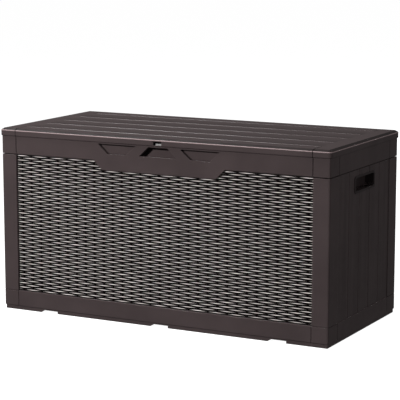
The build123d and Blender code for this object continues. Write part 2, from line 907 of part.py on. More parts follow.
for hinge_name, hinge in zip(hinge_names, hinge_positions):
    left_end = hinge - hinge_length / 2
    right_end = hinge + hinge_length / 2
    outer_spans = [
        (left_end, left_end + outer_knuckle),
        (right_end - outer_knuckle, right_end),
    ]
    middle_span = (hinge - middle_knuckle / 2, hinge + middle_knuckle / 2)
    bore_length = hinge_length + 2

    with BuildPart() as hinge_leaf_body:
        add(barrel(outer_spans))
        for x_from, x_to in outer_spans:
            add(
                block((x_from, leaf_front, axis_z - leaf_clear), (x_to, leaf_back, axis_z))
            )
        add(
            block(
                (left_end, leaf_front, axis_z - leaf_body_drop),
                (right_end, leaf_back, axis_z - leaf_clear),
            )
        )
        with Locations(Location((hinge, axis_y, axis_z), (0, 90, 0))):
            Cylinder(pin_radius + running_clearance, bore_length, mode=Mode.SUBTRACT)
        add(screw_holes(body_screw_spots), mode=Mode.SUBTRACT)
    save(hinge_leaf_body.part, f"hinge_leaf_body_{hinge_name}")

    with BuildPart() as hinge_leaf_lid:
        add(barrel([middle_span]))
        add(
            block(
                (middle_span[0], leaf_front, axis_z), (middle_span[1], leaf_back, axis_z + leaf_clear)
            )
        )
        add(
            block(
                (left_end, leaf_front, axis_z + leaf_clear),
                (right_end, leaf_back, axis_z + leaf_lid_rise),
            )
        )
        with Locations(Location((hinge, axis_y, axis_z), (0, 90, 0))):
            Cylinder(pin_radius + running_clearance, bore_length, mode=Mode.SUBTRACT)
        add(screw_holes(lid_screw_spots), mode=Mode.SUBTRACT)
    save(hinge_leaf_lid.part, f"hinge_leaf_lid_{hinge_name}")

    with BuildPart() as hinge_pin:
        with Locations(Location((hinge, axis_y, axis_z), (0, 90, 0))):
            Cylinder(pin_radius, hinge_length)
        with Locations(
            Location((left_end - pin_head_height / 2, axis_y, axis_z), (0, 90, 0)),
            Location((right_end + pin_head_height / 2, axis_y, axis_z), (0, 90, 0)),
        ):
            Cylinder(pin_head_radius, pin_head_height)
    save(hinge_pin.part, f"hinge_pin_{hinge_name}")

with BuildPart() as hinge_screws_body:
    add(screws_y(body_screw_spots, leaf_front, screw_tip))
save(hinge_screws_body.part, "hinge_screws_body")

with BuildPart() as hinge_screws_lid:
    add(screws_y(lid_screw_spots, leaf_front, screw_tip))
save(hinge_screws_lid.part, "hinge_screws_lid")

# ================================================================ strut brackets
eye_inner = strut_x - eye_width / 2
eye_outer = strut_x + eye_width / 2
stud_end = eye_inner - end_gap
boss_end = eye_outer + end_gap
panel_inner = side_face - wall


def bar_x(centre, radius, x_from, x_to):
    """A round bar along X through a (y, z) point."""
    with BuildPart() as bar:
        with BuildSketch(Plane.YZ.offset(x_from)):
            with Locations(centre):
                Circle(radius)
        extrude(amount=x_to - x_from)
    return bar.part


with BuildPart() as strut_bracket_body:
    add(
        block(
            (
                panel_inner - bracket_thickness,
                body_pivot[0] - bracket_width / 2,
                body_pivot[1] - bracket_height / 2,
            ),
            (panel_inner, body_pivot[0] + bracket_width / 2, body_pivot[1] + bracket_height / 2),
        )
    )
    add(bar_x(body_pivot, bracket_boss_radius, boss_end, panel_inner))
    add(bar_x(body_pivot, stud_radius, stud_end, boss_end))
    add(bar_x(body_pivot, stud_head_radius, stud_end - stud_head_height, stud_end))
    with Locations(
        *[
            Location((panel_inner, body_pivot[0], body_pivot[1] + offset), (0, 90, 0))
            for offset in (-bracket_screw_offset, bracket_screw_offset)
        ]
    ):
        Cylinder(screw_radius + screw_hole_clearance, 3 * bracket_thickness, mode=Mode.SUBTRACT)
save_pair(strut_bracket_body.part, "strut_bracket_body")

with BuildPart() as strut_bracket_lid:
    plate_bottom = liner_bottom - lid_bracket_thickness
    add(
        block(
            (eye_inner, lid_pivot[0] - lid_bracket_length / 2, plate_bottom),
            (eye_outer + lid_bracket_outboard, lid_pivot[0] + lid_bracket_length / 2, liner_bottom),
        )
    )
    add(
        block(
            (boss_end, lid_pivot[0] - bracket_width / 2, lid_pivot[1] - eye_radius),
            (boss_end + bracket_thickness, lid_pivot[0] + bracket_width / 2, plate_bottom),
        )
    )
    add(bar_x(lid_pivot, stud_radius, stud_end, boss_end))
    add(bar_x(lid_pivot, stud_head_radius, stud_end - stud_head_height, stud_end))
    with Locations(
        *[
            (strut_x, lid_pivot[0] + offset, liner_bottom)
            for offset in (-lid_bracket_length / 3, lid_bracket_length / 3)
        ]
    ):
        Cylinder(screw_radius + screw_hole_clearance, 3 * lid_bracket_thickness, mode=Mode.SUBTRACT)
save_pair(strut_bracket_lid.part, "strut_bracket_lid")

with BuildPart() as bracket_screws_body:
    seat_x = panel_inner - bracket_thickness
    for side in (-1, 1):
        for offset in (-bracket_screw_offset, bracket_screw_offset):
            spot = (body_pivot[0], body_pivot[1] + offset)
            add(bar_x(spot, screw_radius, side * seat_x, side * (panel_inner + screw_bite)))
            add(bar_x(spot, screw_head_radius, side * (seat_x - screw_head_height), side * seat_x))
save(bracket_screws_body.part, "bracket_screws_body")

with BuildPart() as bracket_screws_lid:
    screw_spots = [
        (side * strut_x, lid_pivot[0] + offset)
        for side in (-1, 1)
        for offset in (-lid_bracket_length / 3, lid_bracket_length / 3)
    ]
    seat_z = liner_bottom - lid_bracket_thickness
    with BuildSketch(Plane.XY.offset(seat_z)):
        with Locations(*screw_spots):
            Circle(screw_radius)
    extrude(amount=liner_top + screw_bite - seat_z)
    with BuildSketch(Plane.XY.offset(seat_z - screw_head_height)):
        with Locations(*screw_spots):
            Circle(screw_head_radius)
    extrude(amount=screw_head_height)
save(bracket_screws_lid.part, "bracket_screws_lid")

# ================================================================ gas struts
def along(pivot, direction, distance):
    """A plane square to the strut, this far along it from a pivot."""
    start = (strut_x, pivot[0] + direction[0] * distance, pivot[1] + direction[1] * distance)
    return Plane(origin=start, x_dir=(1, 0, 0), z_dir=(0, direction[0], direction[1]))


downward = (-strut_direction[0], -strut_direction[1])

with BuildPart() as strut_cylinder:
    add(bar_x(body_pivot, eye_radius, eye_inner, eye_outer))
    with BuildSketch(along(body_pivot, strut_direction, 0)):
        Circle(neck_radius)
    extrude(amount=cylinder_start)
    with BuildSketch(along(body_pivot, strut_direction, cylinder_start)):
        Circle(cylinder_radius)
    extrude(amount=cylinder_length)
    with BuildSketch(along(body_pivot, strut_direction, cylinder_start + cylinder_cap)):
        Circle(cylinder_bore)
    extrude(amount=cylinder_length - 2 * cylinder_cap, mode=Mode.SUBTRACT)
    with BuildSketch(along(body_pivot, strut_direction, cylinder_start + cylinder_length)):
        Circle(rod_radius + running_clearance)
    extrude(amount=-cylinder_cap, mode=Mode.SUBTRACT)
    add(
        bar_x(body_pivot, stud_radius + running_clearance, eye_inner, eye_outer), mode=Mode.SUBTRACT
    )
save_pair(strut_cylinder.part, "strut_cylinder")

with BuildPart() as strut_rod:
    add(bar_x(lid_pivot, eye_radius, eye_inner, eye_outer))
    with BuildSketch(along(lid_pivot, downward, 0)):
        Circle(rod_radius)
    extrude(amount=rod_length)
    with BuildSketch(along(lid_pivot, downward, rod_length - piston_height)):
        Circle(piston_radius)
    extrude(amount=piston_height)
    add(bar_x(lid_pivot, stud_radius + running_clearance, eye_inner, eye_outer), mode=Mode.SUBTRACT)
save_pair(strut_rod.part, "strut_rod")

print("hinge axis y, z:", axis_y, axis_z)
print("strut pivots y, z:", body_pivot, lid_pivot, "at x", strut_x)
print("strut rest length:", strut_rest_length)
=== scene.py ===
import json
from math import cos, pi, radians, sin

import bpy
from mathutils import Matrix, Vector


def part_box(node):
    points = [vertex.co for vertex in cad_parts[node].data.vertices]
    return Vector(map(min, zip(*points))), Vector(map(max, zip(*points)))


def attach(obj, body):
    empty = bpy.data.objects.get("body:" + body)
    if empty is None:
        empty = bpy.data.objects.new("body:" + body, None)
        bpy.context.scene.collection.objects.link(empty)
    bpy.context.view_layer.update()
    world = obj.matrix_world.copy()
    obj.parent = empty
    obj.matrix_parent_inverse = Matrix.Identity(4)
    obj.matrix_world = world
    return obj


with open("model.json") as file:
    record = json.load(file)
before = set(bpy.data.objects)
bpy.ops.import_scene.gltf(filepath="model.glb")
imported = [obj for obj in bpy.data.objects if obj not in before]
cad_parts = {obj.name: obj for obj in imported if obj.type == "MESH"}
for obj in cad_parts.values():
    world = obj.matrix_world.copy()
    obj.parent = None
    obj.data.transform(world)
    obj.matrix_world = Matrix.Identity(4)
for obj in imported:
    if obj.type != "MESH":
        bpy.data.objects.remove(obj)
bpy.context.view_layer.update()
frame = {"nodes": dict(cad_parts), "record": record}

nodes = frame["nodes"]
MM = 0.001

# ------------------------------------------------------------------ sizes read from the frame
BODY_RIM_DEPTH = 56 * MM  # the plain band of the box above the wicker, behind the lid's skirt
panel_low, panel_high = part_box("front_wicker_panel")
PANEL_FACE = panel_low.y
PANEL_HALF = panel_high.x
PANEL_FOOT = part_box("base_rail_front")[1].z
PANEL_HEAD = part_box("corner_post_front_left")[1].z - BODY_RIM_DEPTH
LID_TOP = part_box("lid_top_panel")[1].z

# ------------------------------------------------------------------ wicker front
WICKER_ROWS = 62
WICKER_BANDS = 2  # the rows are shared out to this many pieces
WICKER_STAKES = 31
STRAND_RELIEF = 3.9 * MM
STRAND_SLACK_RELIEF = 0.5 * MM  # slack is where a strand dives behind a stake
STRAND_HALF = 4.2 * MM
STRAND_SLACK_HALF = 1.7 * MM
STRAND_TUCK = 4 * MM  # how far the strands run on behind the corner posts
STRAND_SEGMENTS = 218
STRAND_SIDES = 10
STRAND_BULGE = 0.8  # below one, a strand stays forward for longer than a plain wave would
STRAND_CROWDING = 1.3  # above one, more of a strand's facets lie round its crown
STRAND_BACK = -0.15  # how deep a strand's hidden back lies, as a share of its relief
STRAND_WELD = 0.02 * MM  # points nearer than this are joined where a strand's sides meet
STRAND_UNEVENNESS = 0.3 * MM
UNEVENNESS_SCALE = 30.0
ROW_TO_ROW = 0.37  # how far apart the rows lie in the unevenness pattern
WICKER_SEED = 7.0
STAKE_HALF_WIDTH = 4 * MM
STAKE_RELIEF = 1.4 * MM
STAKE_FACETS = 10
PLANK_PITCH = 107 * MM  # the boards of the lid's top, with a groove on the middle line

# ------------------------------------------------------------------ camera
CAMERA_TURN = radians(27.80)
CAMERA_RISE = radians(9.586)
CAMERA_PLACE = (2.569, -4.863, 1.305)
CAMERA_LENS = 150.3
SENSOR_WIDTH = 36.0
CLIP_END = 200.0

# ------------------------------------------------------------------ floor and light
FLOOR_HALF = 60.0
FLOOR_COLOUR = (0.35, 0.35, 0.35, 1.0)
FLOOR_GLOW = 0.97
AMBIENT = 0.06
AIM = Vector((0.0, 0.0, 0.3))  # what every lamp points at
WHITE = (1.0, 1.0, 1.0, 1.0)


def direction(turn, rise):
    """From the box outwards: turn is about Z from the front, rise is above the floor."""
    return Vector((sin(turn) * cos(rise), -cos(turn) * cos(rise), sin(rise)))


def make_camera():
    data = bpy.data.cameras.new("camera")
    data.lens = CAMERA_LENS
    data.sensor_width = SENSOR_WIDTH
    data.sensor_fit = "HORIZONTAL"
    data.clip_end = CLIP_END
    camera = bpy.data.objects.new("camera", data)
    bpy.context.scene.collection.objects.link(camera)
    backward = direction(CAMERA_TURN, CAMERA_RISE)
    camera.location = CAMERA_PLACE
    camera.rotation_euler = backward.to_track_quat("Z", "Y").to_euler()
    bpy.context.scene.camera = camera


# ------------------------------------------------------------------ node helpers
def node(tree, kind, **settings):
    made = tree.nodes.new(kind)
    for name, value in settings.items():
        setattr(made, name, value)
    return made


def feed(tree, socket, value):
    """Links a socket, or sets a plain value, on an input."""
    if isinstance(value, bpy.types.NodeSocket):
        tree.links.new(value, socket)
    else:
        socket.default_value = value


def calc(tree, operation, *values):
    made = node(tree, "ShaderNodeMath", operation=operation)
    for socket, value in zip(made.inputs, values):
        feed(tree, socket, value)
    return made.outputs[0]


def vector(tree, x, y, z):
    made = node(tree, "ShaderNodeCombineXYZ")
    for socket, value in zip(made.inputs, (x, y, z)):
        feed(tree, socket, value)
    return made.outputs[0]


# ------------------------------------------------------------------ materials
def new_material(name):
    material = bpy.data.materials.new(name)
    material.use_nodes = True
    tree = material.node_tree
    shader = tree.nodes["Principled BSDF"]
    return material, tree, shader


def object_coordinates(tree, stretch):
    """Object coordinates in metres, scaled along each axis."""
    mapping = node(tree, "ShaderNodeMapping")
    mapping.inputs["Scale"].default_value = stretch
    tree.links.new(node(tree, "ShaderNodeTexCoord").outputs["Object"], mapping.inputs["Vector"])
    return mapping.outputs["Vector"]


def place_on_piece(tree):
    """The X, Y and Z outputs of a point's place, in metres, with every piece at rest."""
    place = node(tree, "ShaderNodeSeparateXYZ")
    tree.links.new(object_coordinates(tree, EVEN), place.inputs[0])
    return place.outputs


def face_turn_up(tree):
    """How far a piece's own face points upwards, one being flat on top."""
    turn = node(tree, "ShaderNodeSeparateXYZ")
    tree.links.new(node(tree, "ShaderNodeTexCoord").outputs["Normal"], turn.inputs[0])
    return turn.outputs["Z"]


def noise(tree, stretch, scale, detail=2.0, roughness=0.5, distortion=0.0):
    made = node(tree, "ShaderNodeTexNoise")
    made.inputs["Scale"].default_value = scale
    made.inputs["Detail"].default_value = detail
    made.inputs["Roughness"].default_value = roughness
    made.inputs["Distortion"].default_value = distortion
    tree.links.new(object_coordinates(tree, stretch), made.inputs["Vector"])
    return made.outputs["Fac"]


def spread(tree, value, low, high, to_low, to_high):
    made = node(tree, "ShaderNodeMapRange")
    for name, number in (
        ("From Min", low),
        ("From Max", high),
        ("To Min", to_low),
        ("To Max", to_high),
    ):
        made.inputs[name].default_value = number
    feed(tree, made.inputs["Value"], value)
    return made.outputs["Result"]


def blend_colours(tree, share, first, second):
    made = node(tree, "ShaderNodeMix", data_type="RGBA")
    feed(tree, made.inputs["Factor"], share)
    feed(tree, made.inputs["A"], first)
    feed(tree, made.inputs["B"], second)
    return made.outputs["Result"]


def edge_mask(tree, radius):
    """One where the surface turns within this radius, and the softened normal."""
    bevel = node(tree, "ShaderNodeBevel", samples=6)
    bevel.inputs["Radius"].default_value = radius
    geometry = node(tree, "ShaderNodeNewGeometry")
    dot = node(tree, "ShaderNodeVectorMath", operation="DOT_PRODUCT")
    tree.links.new(bevel.outputs["Normal"], dot.inputs[0])
    tree.links.new(geometry.outputs["Normal"], dot.inputs[1])
    mask = spread(tree, dot.outputs["Value"], 0.98, 0.75, 0.0, 1.0)
    return mask, bevel.outputs["Normal"]


def bump(tree, height, strength, distance, normal=None):
    made = node(tree, "ShaderNodeBump")
    made.inputs["Strength"].default_value = strength
    made.inputs["Distance"].default_value = distance
    feed(tree, made.inputs["Height"], height)
    if normal is not None:
        feed(tree, made.inputs["Normal"], normal)
    return made.outputs["Normal"]


def shade(colour, factor):
    return tuple(channel * factor for channel in colour) + (1.0,)


RESIN = (0.0560, 0.0425, 0.0430)
# The wicker's colours are painted shade and painted highlight.
WICKER_PAINTED_SHADE = (0.0040, 0.0028, 0.0028)
WICKER_PAINTED_HIGHLIGHT = (0.8300, 0.7600, 0.7350)
INSIDE_RESIN = (0.036, 0.027, 0.027)
CUP_SHADE_TONE = 0.5  # each tone is a share of the resin colour: below one is darker; the hand cups are painted darker as painted shade in their recesses

FIBRE_TONE = 1.35
FIBRE_SHARE = 0.35
FIBRE_HEIGHT = 1.6  # against a pebble height of one
STREAK_TONE = 0.62
STREAK_SHARE = 0.55
TOPS_PAINTED_LIGHT_TONE = 1.3
TOPS_PAINTED_LIGHT_SHARE = 0.8
CLOUD_TONES = (0.92, 1.08)
# Tones of the paler edges, partly worn and partly painted highlight.
EDGE_WEAR_AND_HIGHLIGHT_TONE = 3.4
PLANK_EDGE_HIGHLIGHT_TONE = 6.5
RIM_HIGHLIGHT_TONE = 5.6
RIM_SLOPE_SHADE_TONE = 0.45
SEAM_SHADE_TONE = 0.15
# Tones of the painted shade across each plank, at its front and at its rear.
PLANK_FRONT = 0.66
PLANK_REAR = 1.02

# Shares of the paler edges, partly worn and partly painted highlight; the plank share is mostly painted
# highlight on the groove edges.
EDGE_WEAR_AND_HIGHLIGHT = 0.45
PLANK_EDGE_HIGHLIGHT = 0.85
RIM_EDGE_WEAR_AND_HIGHLIGHT = 0.2
RESIN_EDGE = 2.2 * MM  # how far the paler edge band, partly worn and partly painted highlight, reaches from an edge
EDGE_POLISH = 0.10  # how much smoother a worn edge is
METAL_EDGE = 0.5 * MM
SEAM_SHADE_REACH = 5 * MM
CLOUD_SCALE = 9.0
SCUFF_SCALE = 23.0
PEBBLE_SCALE = 620.0
METAL_MARK_SCALE = 300.0
PEBBLE_STRENGTH = 0.25
PEBBLE_DEPTH = 0.12 * MM
RIM_DROP = 7 * MM  # how far the rim's painted highlight line lies below the top of the lid
KEEP_POSITIVE = 20.0  # whole boards added, so that the share of a board is never negative
EVEN = (1, 1, 1)

CROWN_START = 0.03  # how far a strand has come forward where the painted highlight on its crown begins
CROWN_TILT = 0.25  # the painted highlight sits a little above the middle of the strand, where light from above falls
CROWN_TAPER = 3.3  # above one, the painted highlight is narrower than the strand
CROWN_EDGE = 0.28  # how softly the painted highlight fades into the painted shade
CROWN_TAIL = 0.6  # below one, the painted highlights stay wide further towards their points


def painted_light_on_tops(tree):
    """One on a piece's own upward faces, which are painted lighter as painted light from above."""
    return spread(tree, face_turn_up(tree), 0.90, 0.98, 0.0, 1.0)


def seam_painted_shade(tree):
    """One down in narrow seams and corners, which are painted darker there as painted shade."""
    sheltered = node(tree, "ShaderNodeAmbientOcclusion", samples=8)
    sheltered.inputs["Distance"].default_value = SEAM_SHADE_REACH
    return spread(tree, sheltered.outputs["AO"], 0.75, 0.25, 0.0, 1.0)


def rim_edge_highlight(tree):
    """One along the outer edge of the lid's rim, where its top slope meets the upright face; it is
    painted paler there as a painted highlight line.
    """
    away = calc(tree, "SUBTRACT", place_on_piece(tree)["Z"], LID_TOP - RIM_DROP)
    return spread(tree, calc(tree, "ABSOLUTE", away), 0.8 * MM, 1.7 * MM, 1.0, 0.0)


def rim_slope_shade(tree):
    """One on the slope that runs round the top of the lid, which is painted darker there as painted
    shade.
    """
    up = face_turn_up(tree)
    not_upright = spread(tree, up, 0.78, 0.84, 0.0, 1.0)
    not_flat = spread(tree, up, 0.91, 0.95, 1.0, 0.0)
    return calc(tree, "MULTIPLY", not_upright, not_flat)


def plank_painted_shade(tree, colour):
    """Painted shade: each plank of the top is painted a little darker towards its front edge."""
    across = calc(tree, "DIVIDE", place_on_piece(tree)["Y"], PLANK_PITCH)
    share = calc(tree, "FRACT", calc(tree, "ADD", across, KEEP_POSITIVE))
    share = spread(tree, share, 0.05, 0.75, 0.0, 1.0)
    return blend_colours(tree, share, shade(colour, PLANK_FRONT), shade(colour, PLANK_REAR))


def wood_grain(tree, axis):
    """Fine fibres and broad streaks, both from none to full, that run along the boards."""
    fibre_stretch = {"x": (3.0, 60.0, 60.0), "z": (60.0, 60.0, 3.0)}[axis]
    streak_stretch = {"x": (0.6, 26.0, 26.0), "z": (26.0, 26.0, 0.6)}[axis]
    fibres = noise(tree, fibre_stretch, 2.2, detail=5.0, roughness=0.65, distortion=0.6)
    streaks = noise(tree, streak_stretch, 1.5, detail=2.0, roughness=0.6)
    return (
        spread(tree, fibres, 0.38, 0.62, 0.0, 1.0),
        spread(tree, streaks, 0.36, 0.64, 0.0, 1.0),
    )


def moulded_resin(
    name,
    colour=RESIN,
    grain=None,
    roughness=0.33,
    specular=0.35,
    edge_wear_and_highlight=EDGE_WEAR_AND_HIGHLIGHT,
    planks=False,
    rim=False,
):
    """Injection-moulded resin: fine pebble, faint clouds and wood grain if asked; paler edges, partly
    worn and partly painted highlight; painted light on upward faces; on planks, painted shade towards
    each board's front; painted shade in seams unless the grain runs along X; on the rim, painted shade
    on its slope and a painted highlight along its edge.
    """
    material, tree, shader = new_material(name)
    edges, soft_normal = edge_mask(tree, RESIN_EDGE)

    def stained(base, share, strength, factor):
        """The base colour with some of the resin colour, made paler or darker by the factor."""
        if strength != 1.0:
            share = calc(tree, "MULTIPLY", share, strength)
        return blend_colours(tree, share, base, shade(colour, factor))

    patches = noise(tree, EVEN, CLOUD_SCALE, detail=4.0)
    clouds = spread(tree, patches, 0.35, 0.65, 0.0, 1.0)
    base = blend_colours(tree, clouds, shade(colour, CLOUD_TONES[0]), shade(colour, CLOUD_TONES[1]))
    stipple = noise(tree, EVEN, PEBBLE_SCALE, detail=3.0, roughness=0.6)
    height = stipple
    if grain is not None:
        figure, streaks = wood_grain(tree, grain)
        base = stained(base, figure, FIBRE_SHARE, FIBRE_TONE)
        base = stained(base, streaks, STREAK_SHARE, STREAK_TONE)
        height = calc(tree, "ADD", calc(tree, "MULTIPLY", figure, FIBRE_HEIGHT), stipple)
    # Painted light: upward faces are painted lighter, as if lit from above.
    lit_top_colour = shade(colour, TOPS_PAINTED_LIGHT_TONE)
    if planks:
        lit_top_colour = plank_painted_shade(tree, lit_top_colour[:3])
    lit_top_share = calc(tree, "MULTIPLY", painted_light_on_tops(tree), TOPS_PAINTED_LIGHT_SHARE)
    base = blend_colours(tree, lit_top_share, base, lit_top_colour)
    # Edges are painted paler: partly worn, partly painted highlight, and mostly painted highlight on the
    # planks' groove edges.
    base = stained(base, edges, edge_wear_and_highlight, PLANK_EDGE_HIGHLIGHT_TONE if planks else EDGE_WEAR_AND_HIGHLIGHT_TONE)
    if rim:
        # Painted shade: the rim's slope is painted darker.
        base = stained(base, rim_slope_shade(tree), 1.0, RIM_SLOPE_SHADE_TONE)
        # Painted highlight: a pale line along the rim's outer edge.
        base = stained(base, rim_edge_highlight(tree), 1.0, RIM_HIGHLIGHT_TONE)
    if grain != "x":
        # Painted shade: seams and corners are painted darker where occlusion is found.
        base = stained(base, seam_painted_shade(tree), 1.0, SEAM_SHADE_TONE)
    tree.links.new(base, shader.inputs["Base Color"])

    scuffs = noise(tree, EVEN, SCUFF_SCALE, detail=3.0)
    scuffed = spread(tree, scuffs, 0.3, 0.7, roughness - 0.05, roughness + 0.06)
    polished = calc(tree, "SUBTRACT", scuffed, calc(tree, "MULTIPLY", edges, EDGE_POLISH))
    tree.links.new(polished, shader.inputs["Roughness"])
    shader.inputs["Specular IOR Level"].default_value = specular
    pebbled = bump(tree, height, PEBBLE_STRENGTH, PEBBLE_DEPTH, soft_normal)
    tree.links.new(pebbled, shader.inputs["Normal"])
    return material


def attribute(tree, name):
    return node(tree, "ShaderNodeAttribute", attribute_name=name).outputs["Fac"]


def wicker_resin():
    """Strands painted near black as painted shade in the weave, with a painted highlight along the upper
    crown of every bulge.
    """
    material, tree, shader = new_material("wicker_strand")
    lift = attribute(tree, "lift")
    facing = attribute(tree, "facing")
    tone = noise(tree, (9.0, 9.0, 130.0), 1.0, detail=1.0)
    fibres = noise(tree, (40.0, 900.0, 900.0), 1.0, detail=3.0, roughness=0.6)
    off_crown = calc(tree, "ABSOLUTE", calc(tree, "SUBTRACT", facing, CROWN_TILT))
    off_crown = calc(tree, "MULTIPLY", off_crown, CROWN_TAPER)
    width = calc(tree, "POWER", spread(tree, lift, CROWN_START, 1.0, 0.0, 1.0), CROWN_TAIL)
    crown = calc(tree, "SUBTRACT", width, off_crown)
    crown = spread(tree, crown, 0.0, CROWN_EDGE, 0.0, 1.0)
    crown = calc(tree, "MULTIPLY", crown, spread(tree, tone, 0.3, 0.7, 0.72, 1.0))
    crown = calc(tree, "MULTIPLY", crown, spread(tree, fibres, 0.3, 0.7, 0.85, 1.0))
    # Painted shade over the strands, with a painted highlight on each crown.
    base = blend_colours(tree, crown, shade(WICKER_PAINTED_SHADE, 1.0), shade(WICKER_PAINTED_HIGHLIGHT, 1.0))
    tree.links.new(base, shader.inputs["Base Color"])
    tree.links.new(spread(tree, fibres, 0.3, 0.7, 0.50, 0.62), shader.inputs["Roughness"])
    shader.inputs["Specular IOR Level"].default_value = 0.12
    tree.links.new(bump(tree, fibres, 0.25, 0.15 * MM), shader.inputs["Normal"])
    return material


def shaded_wicker_ground(name):
    """The panel behind the strands: moulded resin painted near black on the wicker side, as painted
    shade behind the strands.
    """
    material = moulded_resin(name, specular=0.06)
    tree = material.node_tree
    shader = tree.nodes["Principled BSDF"]
    plain_colour = shader.inputs["Base Color"].links[0].from_socket
    behind = calc(tree, "GREATER_THAN", place_on_piece(tree)["Y"], PANEL_FACE + 0.5 * MM)
    # Painted shade: the wicker side of the panel, and the stakes made with it, are painted near black.
    shaded = blend_colours(tree, behind, shade(WICKER_PAINTED_SHADE, 0.8), plain_colour)
    tree.links.new(shaded, shader.inputs["Base Color"])
    return material


def metal(name, colour, roughness, streak_axis=EVEN, metallic=1.0, contrast=0.12):
    """Plated, ground or painted metal with fine streaks."""
    material, tree, shader = new_material(name)
    marks = noise(tree, streak_axis, METAL_MARK_SCALE, detail=3.0, roughness=0.6)
    streaks = spread(tree, marks, 0.3, 0.7, 0.0, 1.0)
    base = blend_colours(tree, streaks, shade(colour, 1 - contrast), shade(colour, 1 + contrast))
    tree.links.new(base, shader.inputs["Base Color"])
    shader.inputs["Metallic"].default_value = metallic
    tree.links.new(
        spread(tree, marks, 0.3, 0.7, roughness * 0.85, roughness * 1.2), shader.inputs["Roughness"]
    )
    soft_normal = edge_mask(tree, METAL_EDGE)[1]
    tree.links.new(bump(tree, marks, 0.12, 0.05 * MM, soft_normal), shader.inputs["Normal"])
    return material


def floor_paint():
    material, tree, shader = new_material("studio_floor")
    shader.inputs["Base Color"].default_value = FLOOR_COLOUR
    shader.inputs["Roughness"].default_value = 0.9
    shader.inputs["Specular IOR Level"].default_value = 0.1
    shader.inputs["Emission Color"].default_value = WHITE
    shader.inputs["Emission Strength"].default_value = FLOOR_GLOW
    return material


# ------------------------------------------------------------------ geometry helpers
def mesh_object(name, mesh):
    made = bpy.data.objects.new(name, mesh)
    bpy.context.scene.collection.objects.link(made)
    return made


def grow(name, tree, inputs):
    """Runs a Geometry Nodes tree once and returns its result as a plain mesh object."""
    carrier = mesh_object(name + "_carrier", bpy.data.meshes.new(name + "_carrier"))
    modifier = carrier.modifiers.new("grow", "NODES")
    modifier.node_group = tree
    sockets = {
        item.name: item.identifier
        for item in tree.interface.items_tree
        if item.item_type == "SOCKET" and item.in_out == "INPUT"
    }
    for key, value in inputs.items():
        modifier[sockets[key]] = value
    bpy.context.view_layer.update()
    graph = bpy.context.evaluated_depsgraph_get()
    mesh = bpy.data.meshes.new_from_object(carrier.evaluated_get(graph))
    carrier.modifiers.remove(modifier)
    bpy.data.objects.remove(carrier)
    mesh.name = name
    return mesh_object(name, mesh)


def geometry_tree(name, sockets):
    """A new Geometry Nodes tree with named inputs: (name, kind, default)."""
    tree = bpy.data.node_groups.new(name, "GeometryNodeTree")
    tree.interface.new_socket(name="Geometry", in_out="OUTPUT", socket_type="NodeSocketGeometry")
    tree.interface.new_socket(name="Geometry", in_out="INPUT", socket_type="NodeSocketGeometry")
    for label, kind, default in sockets:
        made = tree.interface.new_socket(name=label, in_out="INPUT", socket_type=kind)
        if default is not None:
            made.default_value = default
    entry = node(tree, "NodeGroupInput")
    leave = node(tree, "NodeGroupOutput")
    return tree, entry.outputs, leave.inputs["Geometry"]


FLOAT = "NodeSocketFloat"
WHOLE = "NodeSocketInt"


